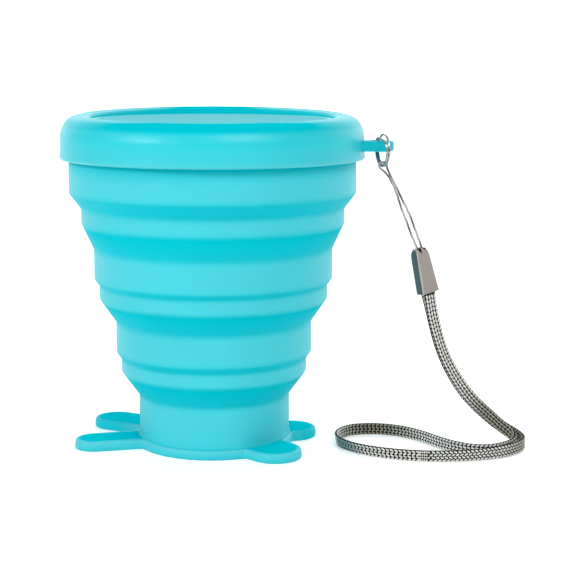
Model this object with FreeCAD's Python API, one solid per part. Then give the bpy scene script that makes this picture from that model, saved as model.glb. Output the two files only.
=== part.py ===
import FreeCAD, Part
import math
import os

# Collapsible silicone travel cup with a push-on lid and a wrist lanyard.
# Millimetres, +Z up. The cup's axis is the Z axis, its foot stands on z = 0, and the lid's eyelet tab
# points along +X.

V = FreeCAD.Vector
UP = V(0, 0, 1)
ORIGIN = V(0, 0, 0)

# ---- cup wall: stiff bands joined by thinner folding webs, from the rim down ----
RIM_R, RIM_TOP, RIM_BOTTOM = 41.0, 93.6, 73.4
UPPER_RING_R, UPPER_RING_TOP, UPPER_RING_BOTTOM = 34.3, 57.4, 48.7
LOWER_RING_R, LOWER_RING_TOP, LOWER_RING_BOTTOM = 28.3, 36.2, 27.3
BASE_R, BASE_TOP = 21.9, 14.7
UPPER_WEB_R, UPPER_WEB_TOP, UPPER_WEB_BOTTOM = 37.7, 69.0, 64.8
MIDDLE_WEB_R, MIDDLE_WEB_TOP, MIDDLE_WEB_BOTTOM = 32.9, 47.0, 43.0
LOWER_WEB_R, LOWER_WEB_TOP, LOWER_WEB_BOTTOM = 26.9, 25.4, 21.6
BAND_WALL = 2.1
WEB_WALL = 1.5
LIP_R = 41.3
LIP_HEIGHT = 2.4
LIP_ROUND = 0.8
CUP_FLOOR = 2.4

# ---- foot: a disc with two long and two short lobes ----
FOOT_THICK = 2.8
FOOT_R = 23.0
FOOT_ROUND = 0.8
LOBE_ROOT = 12.0
# direction in degrees from +X, reach from the cup's axis, width
LOBES = [(204, 41.0, 11.5), (162, 41.5, 13.0), (-36, 33.5, 15.0), (23, 30.5, 14.5)]
LOBE_CROTCH_ROUND = 2.0

# ---- lid: a cap over the rim with a raised crest round a recessed panel and a plug ring inside the rim ----
LID_R = 43.5
LID_BOTTOM, LID_TOP = 83.0, 96.5
LID_SHOULDER_R, LID_SHOULDER_Z = 43.2, 91.2
LID_CREST_R = 37.6
LID_PANEL_R, LID_PANEL_TOP, LID_PANEL_THICK = 34.6, 94.4, 2.1
LID_PLUG_OUTER_R, LID_PLUG_INNER_R, LID_PLUG_BOTTOM = 38.5, 36.6, 89.6
LID_FIT = 0.3
LID_EDGE_ROUND = 0.6

# ---- eyelet tab at the lid's side ----
TAB_BOTTOM, TAB_TOP = 85.6, 88.6
TAB_END_X = 48.1
TAB_HALF_WIDTH = 3.7
TAB_EDGE_ROUND = 0.7
EYELET_X = 47.3
EYELET_R = 2.2

# ---- split ring: two turns of wire side by side, standing in the eyelet ----
WIRE_D = 0.62
RING_MEAN_R = 4.4
RING_CENTRE = V(49.1, -3.4, 86.1)
RING_HEADING = -62.5

# ---- sleeve: tapered grip, its ends given as width across the strap and depth ----
SLEEVE_TOP = V(59.3, -1.2, 58.7)
SLEEVE_BOTTOM = V(62.0, -0.7, 46.6)
SLEEVE_FACE_HEADING = -50.0
SLEEVE_TOP_SIZE = (4.2, 3.7)
SLEEVE_BOTTOM_SIZE = (6.0, 4.0)
SLEEVE_CORNER = 0.9
SLEEVE_TOP_ROUND = 0.8
SLEEVE_HOLE_R = 0.5
SLEEVE_HOLE_LENGTH = 4.8

# ---- thin cord loop and wrist strap ----
CORD_D = 0.6
STRAP_D = 1.9
ARC_SHARE = 0.45

CORD_ROUTE = [
    (59.6, -1.7, 57.0), (57.1, -2.1, 63.0), (54.9, -2.5, 68.8), (53.0, -3.0, 74.2), (51.7, -3.4, 77.6),
    (50.2, -3.6, 79.8), (48.2, -3.9, 81.1), (48.2, -3.8, 82.8), (50.1, -3.0, 82.8), (50.2, -2.9, 81.3),
    (51.6, -2.4, 78.4), (53.6, -1.9, 74.2), (56.2, -1.4, 69.2), (58.5, -0.9, 63.4), (60.7, -0.6, 57.0),
]

STRAP_ROUTE = [
    (61.5, 0.0, 46.2), (62.9, 1.1, 40.9), (64.2, 1.7, 35.1), (65.8, 2.5, 29.2), (68.4, 3.8, 23.0),
    (72.0, 5.6, 16.9), (74.6, 6.8, 13.6), (77.6, 8.2, 10.4), (80.9, 9.8, 7.2), (84.2, 11.2, 4.6),
    (87.3, 12.0, 2.8), (89.4, 10.4, 2.0), (90.0, 7.0, 1.9), (89.4, 2.8, 1.9), (86.6, -2.3, 1.9),
    (81.0, -7.4, 1.9), (72.4, -11.5, 1.9), (62.0, -13.5, 1.9), (51.2, -12.3, 1.9), (42.2, -8.3, 1.9),
    (36.8, -2.4, 1.9), (35.6, 4.4, 1.9), (38.2, 11.2, 1.9), (45.0, 14.2, 1.9), (52.6, 13.3, 1.9),
    (60.0, 8.6, 1.9), (66.6, 1.2, 1.9), (71.8, -2.9, 1.9), (77.4, -4.7, 1.9), (82.2, -3.0, 1.9),
    (85.4, 0.8, 1.9), (87.2, 4.4, 2.0), (87.5, 7.5, 2.6), (86.0, 9.4, 3.8), (83.2, 8.7, 5.9),
    (80.6, 7.4, 8.6), (78.0, 6.1, 11.2), (75.5, 4.9, 13.8), (73.0, 3.7, 17.0), (69.3, 1.9, 23.0),
    (66.5, 0.5, 29.2), (64.8, -0.4, 35.1), (63.4, -1.0, 40.9), (62.6, -1.4, 46.4),
]


def heading(degrees):
    """Unit vector in the XY plane at this many degrees from +X."""
    return V(math.cos(math.radians(degrees)), math.sin(math.radians(degrees)), 0)


def revolve(points):
    """Solid of revolution about Z of a closed outline of (radius, z) points."""
    corners = [V(r, 0, z) for r, z in points]
    face = Part.Face(Part.makePolygon(corners + corners[:1]))
    return face.revolve(ORIGIN, UP, 360)


def round_edges(shape, radius, wanted):
    """Fillets the edges of shape for which wanted(edge) is true."""
    edges = [edge for edge in shape.Edges if wanted(edge)]
    return shape.makeFillet(radius, edges)


def is_ring_at(z, r=None):
    """Test for a full circle at height z, and of radius r if it is given."""
    def test(edge):
        curve = edge.Curve
        if not isinstance(curve, Part.Circle) or abs(curve.Center.z - z) > 1e-4:
            return False
        return r is None or abs(curve.Radius - r) < 1e-4
    return test


# ---------------------------------------------------------------- cup

def cup_rim():
    """Top band of the cup's wall, with a rounded lip that the lid grips."""
    inner = RIM_R - BAND_WALL
    band = revolve([
        (inner, RIM_BOTTOM), (RIM_R, RIM_BOTTOM), (RIM_R, RIM_TOP - LIP_HEIGHT - (LIP_R - RIM_R)),
        (LIP_R, RIM_TOP - LIP_HEIGHT), (LIP_R, RIM_TOP), (inner, RIM_TOP),
    ])
    return round_edges(band, LIP_ROUND, is_ring_at(RIM_TOP))


def plain_ring(radius, bottom, top):
    """Cylindrical band of the cup's wall."""
    return revolve([(radius - BAND_WALL, bottom), (radius, bottom), (radius, top), (radius - BAND_WALL, top)])


def fold_web(upper_r, upper_z, middle_r, middle_top, middle_bottom, lower_r, lower_z):
    """Folding web between two bands: a slope, a short band and a slope, thinner than the bands."""
    return revolve([
        (upper_r, upper_z), (middle_r, middle_top), (middle_r, middle_bottom), (lower_r, lower_z),
        (lower_r - BAND_WALL, lower_z), (middle_r - WEB_WALL, middle_bottom),
        (middle_r - WEB_WALL, middle_top), (upper_r - BAND_WALL, upper_z),
    ])


def upper_fold():
    return fold_web(RIM_R, RIM_BOTTOM, UPPER_WEB_R, UPPER_WEB_TOP, UPPER_WEB_BOTTOM,
                    UPPER_RING_R, UPPER_RING_TOP)


def middle_fold():
    return fold_web(UPPER_RING_R, UPPER_RING_BOTTOM, MIDDLE_WEB_R, MIDDLE_WEB_TOP, MIDDLE_WEB_BOTTOM,
                    LOWER_RING_R, LOWER_RING_TOP)


def lower_fold():
    return fold_web(LOWER_RING_R, LOWER_RING_BOTTOM, LOWER_WEB_R, LOWER_WEB_TOP, LOWER_WEB_BOTTOM,
                    BASE_R, BASE_TOP)


def cup_base():
    """Lowest band of the wall, closed by the cup's floor."""
    inner = BASE_R - BAND_WALL
    floor_top = FOOT_THICK + CUP_FLOOR
    return revolve([
        (0, FOOT_THICK), (BASE_R, FOOT_THICK), (BASE_R, BASE_TOP),
        (inner, BASE_TOP), (inner, floor_top), (0, floor_top),
    ])


def foot_lobe(direction, reach, width):
    """Flat lobe with a round tip, from under the disc out to its reach."""
    half = width / 2
    along = heading(direction)
    across = heading(direction + 90)
    tip_centre = along * (reach - half)
    near_right = along * LOBE_ROOT - across * half
    near_left = along * LOBE_ROOT + across * half
    outline = Part.Wire([
        Part.LineSegment(near_right, tip_centre - across * half).toShape(),
        Part.Arc(tip_centre - across * half, tip_centre + along * half, tip_centre + across * half).toShape(),
        Part.LineSegment(tip_centre + across * half, near_left).toShape(),
        Part.LineSegment(near_left, near_right).toShape(),
    ])
    return Part.Face(outline).extrude(UP * FOOT_THICK)


def foot():
    """Foot disc and its lobes, with rounded crotches and rounded top and bottom edges."""
    plate = Part.makeCylinder(FOOT_R, FOOT_THICK)
    for direction, reach, width in LOBES:
        plate = plate.fuse(foot_lobe(direction, reach, width))
    plate = plate.removeSplitter()

    def is_crotch(edge):
        low, high = edge.Vertexes[0].Point, edge.Vertexes[-1].Point
        upright = abs(abs(high.z - low.z) - FOOT_THICK) < 1e-4 and (high - low).Length < FOOT_THICK + 1e-4
        return upright and abs(math.hypot(low.x, low.y) - FOOT_R) < 1e-3

    plate = round_edges(plate, LOBE_CROTCH_ROUND, is_crotch)
    return round_edges(plate, FOOT_ROUND, lambda edge: edge.BoundBox.ZLength < 1e-4)


# ---------------------------------------------------------------- lid

def lid_cap():
    """Whole cap over the rim: skirt, crest with a groove for the lip, plug ring and recessed panel."""
    groove_r = LIP_R + LID_FIT
    underside = LID_PANEL_TOP - LID_PANEL_THICK
    outline = [
        (0, LID_PANEL_TOP), (0, underside), (LID_PLUG_INNER_R, underside),
        (LID_PLUG_INNER_R, LID_PLUG_BOTTOM), (LID_PLUG_OUTER_R, LID_PLUG_BOTTOM),
        (LID_PLUG_OUTER_R, RIM_TOP), (groove_r, RIM_TOP), (groove_r, LID_BOTTOM), (LID_R, LID_BOTTOM),
        (LID_SHOULDER_R, LID_SHOULDER_Z),
    ]
    corners = [V(r, 0, z) for r, z in outline]
    shoulder = corners[-1]
    crest = V(LID_CREST_R, 0, LID_TOP)
    panel_edge = V(LID_PANEL_R, 0, LID_PANEL_TOP)
    drop = LID_TOP - LID_SHOULDER_Z
    reach = LID_SHOULDER_R - LID_CREST_R
    diagonal = math.sqrt(0.5)
    shoulder_middle = V(LID_CREST_R + reach * diagonal, 0, LID_SHOULDER_Z + drop * diagonal)
    inner_reach = LID_CREST_R - LID_PANEL_R
    crest_middle = V(LID_CREST_R - inner_reach * 0.55, 0, LID_TOP - (LID_TOP - LID_PANEL_TOP) * 0.35)
    edges = [Part.LineSegment(a, b).toShape() for a, b in zip(corners, corners[1:])]
    edges.append(Part.Arc(shoulder, shoulder_middle, crest).toShape())
    edges.append(Part.Arc(crest, crest_middle, panel_edge).toShape())
    edges.append(Part.LineSegment(panel_edge, corners[0]).toShape())
    cap = Part.Face(Part.Wire(edges)).revolve(ORIGIN, UP, 360)
    cap = round_edges(cap, LID_EDGE_ROUND, is_ring_at(LID_BOTTOM, LID_R))
    return round_edges(cap, LID_EDGE_ROUND, is_ring_at(LID_PLUG_BOTTOM))


def lid_pieces(cap):
    """The cap in three nodes that touch: its top, its skirt outside the groove and its plug ring inside it."""
    outside = LID_R + 1
    below = LID_BOTTOM - 1
    underside = LID_PANEL_TOP - LID_PANEL_THICK
    skirt_zone = revolve([(LIP_R, below), (outside, below), (outside, RIM_TOP), (LIP_R, RIM_TOP)])
    plug_zone = revolve([(0, below), (LIP_R, below), (LIP_R, underside), (0, underside)])
    return {
        "lid_top": cap.cut(skirt_zone).cut(plug_zone),
        "lid_skirt": cap.common(skirt_zone),
        "lid_plug": cap.common(plug_zone),
    }


def lid_eyelet(cap):
    """Flat tab with a round end and a hole through it, standing out of the lid's side."""
    root_x = LID_PLUG_OUTER_R
    height = TAB_TOP - TAB_BOTTOM
    bar = Part.makeBox(TAB_END_X - root_x, 2 * TAB_HALF_WIDTH, height, V(root_x, -TAB_HALF_WIDTH, TAB_BOTTOM))
    end = Part.makeCylinder(TAB_HALF_WIDTH, height, V(TAB_END_X, 0, TAB_BOTTOM))
    tab = bar.fuse(end).removeSplitter()
    tab = round_edges(tab, TAB_EDGE_ROUND, lambda edge: edge.BoundBox.ZLength < 1e-4
                      and edge.BoundBox.XMax > root_x + 1e-3)
    tab = tab.cut(Part.makeCylinder(EYELET_R, height + 2, V(EYELET_X, 0, TAB_BOTTOM - 1)))
    inside = Part.makeCylinder((LID_R + LIP_R) / 2, height + 2, V(0, 0, TAB_BOTTOM - 1))
    return tab.cut(inside).cut(cap)


# ---------------------------------------------------------------- split ring

def split_ring():
    """Two closed turns of wire that lie against each other, in an upright plane."""
    along = heading(RING_HEADING)
    normal = heading(RING_HEADING + 90)
    turns = [
        Part.makeTorus(RING_MEAN_R, WIRE_D / 2, RING_CENTRE + normal * side * WIRE_D * 0.48, normal)
        for side in (-1, 1)
    ]
    return turns[0].fuse(turns[1])


# ---------------------------------------------------------------- sleeve

def rounded_rectangle(centre, width_axis, depth_axis, size, corner):
    """Closed wire: a rectangle of size (width, depth) with rounded corners."""
    half_w, half_d = size[0] / 2, size[1] / 2
    diagonal = corner * (1 - math.sqrt(0.5))

    def at(w, d):
        return centre + width_axis * w + depth_axis * d

    edges = []
    for sw, sd in ((1, 1), (-1, 1), (-1, -1), (1, -1)):
        side_end = at(sw * half_w, sd * (half_d - corner))
        face_end = at(sw * (half_w - corner), sd * half_d)
        middle = at(sw * (half_w - diagonal), sd * (half_d - diagonal))
        if sw * sd > 0:
            edges.append(Part.Arc(side_end, middle, face_end).toShape())
            edges.append(Part.LineSegment(face_end, at(-sw * (half_w - corner), sd * half_d)).toShape())
        else:
            edges.append(Part.Arc(face_end, middle, side_end).toShape())
            edges.append(Part.LineSegment(side_end, at(sw * half_w, -sd * (half_d - corner))).toShape())
    return Part.Wire(edges)


def sleeve():
    """Tapered grip with two small holes in its top, where the cord's legs go in."""
    axis = (SLEEVE_TOP - SLEEVE_BOTTOM).normalize()
    depth_axis = heading(SLEEVE_FACE_HEADING)
    depth_axis = (depth_axis - axis * depth_axis.dot(axis)).normalize()
    width_axis = depth_axis.cross(axis).normalize()
    bottom = rounded_rectangle(SLEEVE_BOTTOM, width_axis, depth_axis, SLEEVE_BOTTOM_SIZE, SLEEVE_CORNER)
    top = rounded_rectangle(SLEEVE_TOP, width_axis, depth_axis, SLEEVE_TOP_SIZE, SLEEVE_CORNER)
    body = Part.makeLoft([bottom, top], True, True)

    def is_top_edge(edge):
        return all(abs((vertex.Point - SLEEVE_TOP).dot(axis)) < 1e-3 for vertex in edge.Vertexes)

    body = round_edges(body, SLEEVE_TOP_ROUND, is_top_edge)
    for end, inner in ((CORD_ROUTE[0], CORD_ROUTE[1]), (CORD_ROUTE[-1], CORD_ROUTE[-2])):
        leg = (V(*inner) - V(*end)).normalize()
        body = body.cut(Part.makeCylinder(SLEEVE_HOLE_R, SLEEVE_HOLE_LENGTH, V(*end), leg))
    return body


# ---------------------------------------------------------------- cords

def tube(points, diameter, name):
    """Round tube along straight runs joined by tangent arcs through the route's points."""
    route = [V(*point) for point in points]
    edges = []
    radii = []
    start = route[0]
    for before, corner, after in zip(route, route[1:], route[2:]):
        to_before = before - corner
        to_after = after - corner
        trim = ARC_SHARE * min(to_before.Length, to_after.Length)
        half_turn = (math.pi - to_before.getAngle(to_after)) / 2
        radii.append(trim / math.tan(half_turn))
        to_before.normalize()
        to_after.normalize()
        first = corner + to_before * trim
        last = corner + to_after * trim
        inward = (to_before + to_after).normalize()
        depth = radii[-1] / math.cos(half_turn) - radii[-1]
        edges.append(Part.LineSegment(start, first).toShape())
        edges.append(Part.Arc(first, corner + inward * depth, last).toShape())
        start = last
    edges.append(Part.LineSegment(start, route[-1]).toShape())
    path = Part.Wire(edges)
    heading_out = (route[1] - route[0]).normalize()
    section = Part.Wire(Part.makeCircle(diameter / 2, route[0], heading_out))
    solid = path.makePipeShell([section], True, False, 0)
    expected = math.pi * diameter ** 2 / 4 * path.Length
    print(name, "length", round(path.Length, 1), "least radius", round(min(radii), 2),
          "radii", [round(r, 1) for r in radii], "volume ratio", round(solid.Volume / expected, 4))
    return solid


def export(name, shape):
    solids = shape.Solids
    if len(solids) == 1:
        shape = solids[0]
    print(name, "solids", len(solids), "valid", shape.isValid(), "volume", round(shape.Volume, 1))
    shape.exportStep("parts/" + name + ".step")


def main():
    os.makedirs("parts", exist_ok=True)
    cap = lid_cap()
    pieces = {
        "cup_rim": cup_rim(),
        "upper_fold": upper_fold(),
        "upper_ring": plain_ring(UPPER_RING_R, UPPER_RING_BOTTOM, UPPER_RING_TOP),
        "middle_fold": middle_fold(),
        "lower_ring": plain_ring(LOWER_RING_R, LOWER_RING_BOTTOM, LOWER_RING_TOP),
        "lower_fold": lower_fold(),
        "cup_base": cup_base(),
        "foot": foot(),
        **lid_pieces(cap),
        "lid_eyelet": lid_eyelet(cap),
        "split_ring": split_ring(),
        "cord_loop": tube(CORD_ROUTE, CORD_D, "cord_loop"),
        "sleeve": sleeve(),
        "wrist_strap": tube(STRAP_ROUTE, STRAP_D, "wrist_strap"),
    }
    for name, shape in pieces.items():
        export(name, shape)


main()
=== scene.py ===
import math

import bmesh
import bpy
from mathutils import Matrix, Vector


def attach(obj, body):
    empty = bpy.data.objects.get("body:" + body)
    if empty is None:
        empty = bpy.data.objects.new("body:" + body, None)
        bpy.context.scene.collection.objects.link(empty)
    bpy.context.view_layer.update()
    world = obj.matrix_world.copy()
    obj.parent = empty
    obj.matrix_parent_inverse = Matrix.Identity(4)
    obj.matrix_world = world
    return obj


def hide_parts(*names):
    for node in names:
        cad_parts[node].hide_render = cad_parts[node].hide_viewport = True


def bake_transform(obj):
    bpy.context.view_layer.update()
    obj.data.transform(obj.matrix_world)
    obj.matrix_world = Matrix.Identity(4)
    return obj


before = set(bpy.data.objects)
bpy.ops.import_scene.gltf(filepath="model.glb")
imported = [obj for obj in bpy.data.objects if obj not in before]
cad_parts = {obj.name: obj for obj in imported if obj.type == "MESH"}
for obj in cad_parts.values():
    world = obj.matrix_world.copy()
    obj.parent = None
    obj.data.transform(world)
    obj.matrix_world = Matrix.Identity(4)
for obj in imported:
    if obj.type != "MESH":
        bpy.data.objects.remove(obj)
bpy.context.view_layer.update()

# Collapsible silicone travel cup with lid and wrist lanyard. Built in millimetres, stored in metres.
# The cup's axis is Z, its foot stands on z = 0, and the lid's eyelet tab points along +X.

MM = 0.001
UP = Vector((0, 0, 1))

# ---------------------------------------------------------------- camera

CAMERA_AT = Vector((93.2, -401.3, 112.0)) * MM
CAMERA_YAW, CAMERA_PITCH, CAMERA_ROLL = 10.0, 9.28, 0.15
CAMERA_LENS, CAMERA_SENSOR = 89.07, 36.0
CAMERA_RANGE = (0.01, 20.0)


def make_camera():
    data = bpy.data.cameras.new("camera")
    data.sensor_width = CAMERA_SENSOR
    data.lens = CAMERA_LENS
    data.clip_start, data.clip_end = CAMERA_RANGE
    camera = bpy.data.objects.new("camera", data)
    bpy.context.scene.collection.objects.link(camera)
    turn = Matrix.Rotation(math.radians(CAMERA_YAW), 4, "Z")
    tilt = Matrix.Rotation(math.radians(90 - CAMERA_PITCH), 4, "X")
    roll = Matrix.Rotation(math.radians(CAMERA_ROLL), 4, "Z")
    camera.matrix_world = Matrix.Translation(CAMERA_AT) @ turn @ tilt @ roll
    bpy.context.scene.camera = camera


make_camera()

# ---------------------------------------------------------------- mesh helpers


def new_mesh(name, verts_mm, faces, material, sharp_angle=32.0, tones=None):
    """Object from vertices in millimetres: smooth faces, with edges sharper than sharp_angle kept crisp."""
    mesh = bpy.data.meshes.new(name)
    mesh.from_pydata([tuple(c * MM for c in v) for v in verts_mm], [], faces)
    if tones is not None:
        mesh.attributes.new("tone", "FLOAT", "POINT").data.foreach_set("value", tones)
    work = bmesh.new()
    work.from_mesh(mesh)
    bmesh.ops.recalc_face_normals(work, faces=work.faces)
    limit = math.radians(sharp_angle)
    for edge in work.edges:
        edge.smooth = len(edge.link_faces) != 2 or edge.calc_face_angle(0) < limit
    for face in work.faces:
        face.smooth = True
    work.to_mesh(mesh)
    work.free()
    mesh.materials.append(material)
    obj = bpy.data.objects.new(name, mesh)
    bpy.context.scene.collection.objects.link(obj)
    return obj


# the most of a side that the rounding of one of its corners takes up
MOST_TRIM = 0.48


def rounded(corners, step_degrees=9.0):
    """Points of an open outline whose inner corners, given as (x, y, radius), are rounded with arcs."""
    points = [Vector(corners[0][:2])]
    for before, corner, after in zip(corners, corners[1:], corners[2:]):
        at = Vector(corner[:2])
        to_before = Vector(before[:2]) - at
        to_after = Vector(after[:2]) - at
        angle = to_before.angle(to_after)
        turn = math.pi - angle
        if corner[2] <= 0 or turn < 1e-3:
            points.append(at)
            continue
        trim = min(corner[2] * math.tan(turn / 2), MOST_TRIM * to_before.length, MOST_TRIM * to_after.length)
        radius = trim / math.tan(turn / 2)
        centre = at + (to_before.normalized() + to_after.normalized()).normalized() * radius / math.cos(turn / 2)
        first = at + to_before.normalized() * trim - centre
        last = at + to_after.normalized() * trim - centre
        steps = max(2, round(math.degrees(turn) / step_degrees))
        sweep = math.atan2(first.x * last.y - first.y * last.x, first.dot(last))
        for k in range(steps + 1):
            a = sweep * k / steps
            points.append(centre + Vector((first.x * math.cos(a) - first.y * math.sin(a),
                                           first.x * math.sin(a) + first.y * math.cos(a))))
    points.append(Vector(corners[-1][:2]))
    return points


def eased(share):
    """The share held between 0 and 1, with a soft start and a soft end."""
    share = min(1.0, max(0.0, share))
    return share * share * (3 - 2 * share)


def stop_value(stops, place, soft=False):
    """Value at a place on a line of (place, value) stops, of rising place."""
    for (a, first), (b, second) in zip(stops, stops[1:]):
        if place <= b:
            share = max(0.0, place - a) / (b - a)
            return first + (second - first) * (eased(share) if soft else share)
    return stops[-1][1]


def circle(radius, sides, centre=(0.0, 0.0)):
    """Places evenly round a circle."""
    turns = [2 * math.pi * j / sides for j in range(sides)]
    return [(centre[0] + radius * math.cos(a), centre[1] + radius * math.sin(a)) for a in turns]


def squared(value, power):
    """A circle's coordinate pushed outwards, towards a square with soft corners, by a power below 1."""
    return math.copysign(abs(value) ** power, value)


def band(first, second, count):
    """Faces between two closed rings of count vertices, which start at vertices first and second."""
    return [[first + j, first + (j + 1) % count, second + (j + 1) % count, second + j] for j in range(count)]


def finer(points, step):
    """The same outline with more points, none further apart than step."""
    result = [points[0]]
    for a, b in zip(points, points[1:]):
        parts = max(1, math.ceil((b - a).length / step))
        result += [a.lerp(b, (k + 1) / parts) for k in range(parts)]
    return result


def lathe(name, outline, material, tone_of, segments=224):
    """Closed solid of revolution about Z of a closed (radius, z) outline. Points on the axis become poles."""
    verts, rings, tones = [], [], []
    for r, z in outline:
        if r < 1e-6:
            rings.append([len(verts)] * segments)
            verts.append((0, 0, z))
            tones.append(tone_of(r, z))
            continue
        tones += [tone_of(r, z)] * segments
        rings.append(list(range(len(verts), len(verts) + segments)))
        verts += [(x, y, z) for x, y in circle(r, segments)]
    faces = []
    for ring, following in zip(rings, rings[1:] + rings[:1]):
        if ring[0] == ring[1] and following[0] == following[1]:
            continue
        for k in range(segments):
            n = (k + 1) % segments
            faces.append(list(dict.fromkeys([ring[k], ring[n], following[n], following[k]])))
    return new_mesh(name, verts, faces, material, tones=tones)


def cut_outline(points, high, low):
    """The stretch of an outline that runs down from z = high to z = low, with points at both cuts."""
    kept = []
    for a, b in zip(points, points[1:]):
        for z in (high, low):
            if (a.y - z) * (b.y - z) < 0:
                share = (z - a.y) / (b.y - a.y)
                kept.append(a.lerp(b, share))
        if low <= b.y <= high:
            kept.append(b)
    if low <= points[0].y <= high:
        kept.insert(0, points[0])
    kept.sort(key=lambda p: -p.y)
    return kept


# ---------------------------------------------------------------- materials


def node_material(name):
    material = bpy.data.materials.new(name)
    material.use_nodes = True
    nodes = material.node_tree.nodes
    return material, nodes, material.node_tree.links, nodes["Principled BSDF"]


def add_noise(nodes, links, scale, detail, roughness):
    """Noise over the object's own coordinates."""
    coordinates = nodes.new("ShaderNodeTexCoord")
    noise = nodes.new("ShaderNodeTexNoise")
    noise.inputs["Scale"].default_value = scale
    noise.inputs["Detail"].default_value = detail
    noise.inputs["Roughness"].default_value = roughness
    links.new(coordinates.outputs["Object"], noise.inputs["Vector"])
    return noise


def add_ramp(nodes, links, source, stops):
    ramp = nodes.new("ShaderNodeValToRGB")
    while len(ramp.color_ramp.elements) < len(stops):
        ramp.color_ramp.elements.new(0.5)
    for element, (position, colour) in zip(ramp.color_ramp.elements, stops):
        element.position = position
        element.color = (*colour, 1)
    links.new(source, ramp.inputs["Fac"])
    return ramp


def add_bump(nodes, links, shader, height, strength, distance):
    bump = nodes.new("ShaderNodeBump")
    bump.inputs["Strength"].default_value = strength
    bump.inputs["Distance"].default_value = distance
    links.new(height, bump.inputs["Height"])
    links.new(bump.outputs["Normal"], shader.inputs["Normal"])


def add_range(nodes, links, source, low, high):
    """Value from low to high as source goes from 0 to 1."""
    mapped = nodes.new("ShaderNodeMapRange")
    mapped.inputs["To Min"].default_value = low
    mapped.inputs["To Max"].default_value = high
    links.new(source, mapped.inputs["Value"])
    return mapped.outputs["Result"]


def add_tone(nodes):
    """The tone stored at the mesh's points."""
    tone = nodes.new("ShaderNodeAttribute")
    tone.attribute_name = "tone"
    return tone.outputs["Fac"]


def add_tone_ramp(nodes, links, stops):
    return add_ramp(nodes, links, add_tone(nodes), stops)


def multiply_colours(nodes, links, ramp, other, shader):
    """The product of two ramps as the shader's colour."""
    product = nodes.new("ShaderNodeVectorMath")
    product.operation = "MULTIPLY"
    links.new(ramp.outputs["Color"], product.inputs[0])
    links.new(other.outputs["Color"], product.inputs[1])
    links.new(product.outputs["Vector"], shader.inputs["Base Color"])


def silicone(name, painted_reflection, own_colour_and_sheen, painted_shade, roughness, shine):
    """Satin silicone, faintly cloudy. Its tone runs from a painted reflection at 0, through its own colour paled by
    a painted sheen at 0.5, to painted shade at 1.

    It shines only near the middle tone, not where the painted reflection or the deepest painted shade is.
    """
    material, nodes, links, shader = node_material(name)
    colour = add_tone_ramp(nodes, links, [(0.0, painted_reflection), (0.5, own_colour_and_sheen), (1.0, painted_shade)])
    cloud = add_noise(nodes, links, 34.0, 4.0, 0.55)
    shade = add_ramp(nodes, links, cloud.outputs["Fac"], [(0.3, (0.95, 0.95, 0.95)), (0.7, (1.0, 1.0, 1.0))])
    multiply_colours(nodes, links, colour, shade, shader)
    smudge = add_noise(nodes, links, 90.0, 3.0, 0.6)
    links.new(add_range(nodes, links, smudge.outputs["Fac"], roughness - 0.05, roughness + 0.06),
              shader.inputs["Roughness"])
    dull, bright = (0.0,) * 3, (shine,) * 3
    level = add_tone_ramp(nodes, links, [(0.1, dull), (0.35, bright), (0.5, bright), (1.0, dull)])
    links.new(level.outputs["Color"], shader.inputs["Specular IOR Level"])
    grain = add_noise(nodes, links, 2600.0, 2.0, 0.6)
    add_bump(nodes, links, shader, grain.outputs["Fac"], 0.25, 0.00004)
    shader.inputs["Subsurface Weight"].default_value = 0.1
    shader.inputs["Subsurface Radius"].default_value = (0.4, 1.0, 1.0)
    shader.inputs["Subsurface Scale"].default_value = 0.0015
    return material


def wire_steel():
    """Bright spring-steel wire with drawn lines and small dark scuffs."""
    material, nodes, links, shader = node_material("wire_steel")
    scuff = add_noise(nodes, links, 900.0, 4.0, 0.7)
    ramp = add_ramp(nodes, links, scuff.outputs["Fac"],
                    [(0.3, (0.22, 0.22, 0.23)), (0.55, (0.5, 0.49, 0.48)), (0.8, (0.66, 0.65, 0.63))])
    links.new(ramp.outputs["Color"], shader.inputs["Base Color"])
    links.new(add_range(nodes, links, scuff.outputs["Fac"], 0.18, 0.36), shader.inputs["Roughness"])
    add_bump(nodes, links, shader, scuff.outputs["Fac"], 0.3, 0.00003)
    shader.inputs["Metallic"].default_value = 1.0
    return material


def grip_plastic(name, dark, light):
    """Satin moulded plastic with a fine spark-eroded texture."""
    material, nodes, links, shader = node_material(name)
    mottle = add_noise(nodes, links, 260.0, 3.0, 0.5)
    ramp = add_ramp(nodes, links, mottle.outputs["Fac"], [(0.25, dark), (0.75, light)])
    links.new(ramp.outputs["Color"], shader.inputs["Base Color"])
    grain = add_noise(nodes, links, 5200.0, 2.0, 0.5)
    links.new(add_range(nodes, links, grain.outputs["Fac"], 0.42, 0.58), shader.inputs["Roughness"])
    add_bump(nodes, links, shader, grain.outputs["Fac"], 0.3, 0.00003)
    shader.inputs["Specular IOR Level"].default_value = 0.4
    return material


def yarn(name, dark, light, roughness, shine, sheen, shades=None):
    """Spun or braided yarn: fibres run through the colour, the roughness and the bump.

    Shades, if given, are the colours of painted shade and painted reflection that multiply it as its tone goes from
    0 to 1.
    """
    material, nodes, links, shader = node_material(name)
    fibre = add_noise(nodes, links, 3800.0, 4.0, 0.65)
    ramp = add_ramp(nodes, links, fibre.outputs["Fac"], [(0.32, dark), (0.66, light)])
    if shades:
        multiply_colours(nodes, links, ramp, add_tone_ramp(nodes, links, shades), shader)
    else:
        links.new(ramp.outputs["Color"], shader.inputs["Base Color"])
    links.new(add_range(nodes, links, fibre.outputs["Fac"], roughness - 0.08, roughness + 0.1),
              shader.inputs["Roughness"])
    add_bump(nodes, links, shader, fibre.outputs["Fac"], 0.6, 0.00006)
    shader.inputs["Specular IOR Level"].default_value = shine
    shader.inputs["Sheen Weight"].default_value = sheen
    shader.inputs["Sheen Roughness"].default_value = 0.5
    return material


# silicone colours: a pale painted reflection, the silicone's own colour paled by a painted sheen, and a painted
# shade
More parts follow.
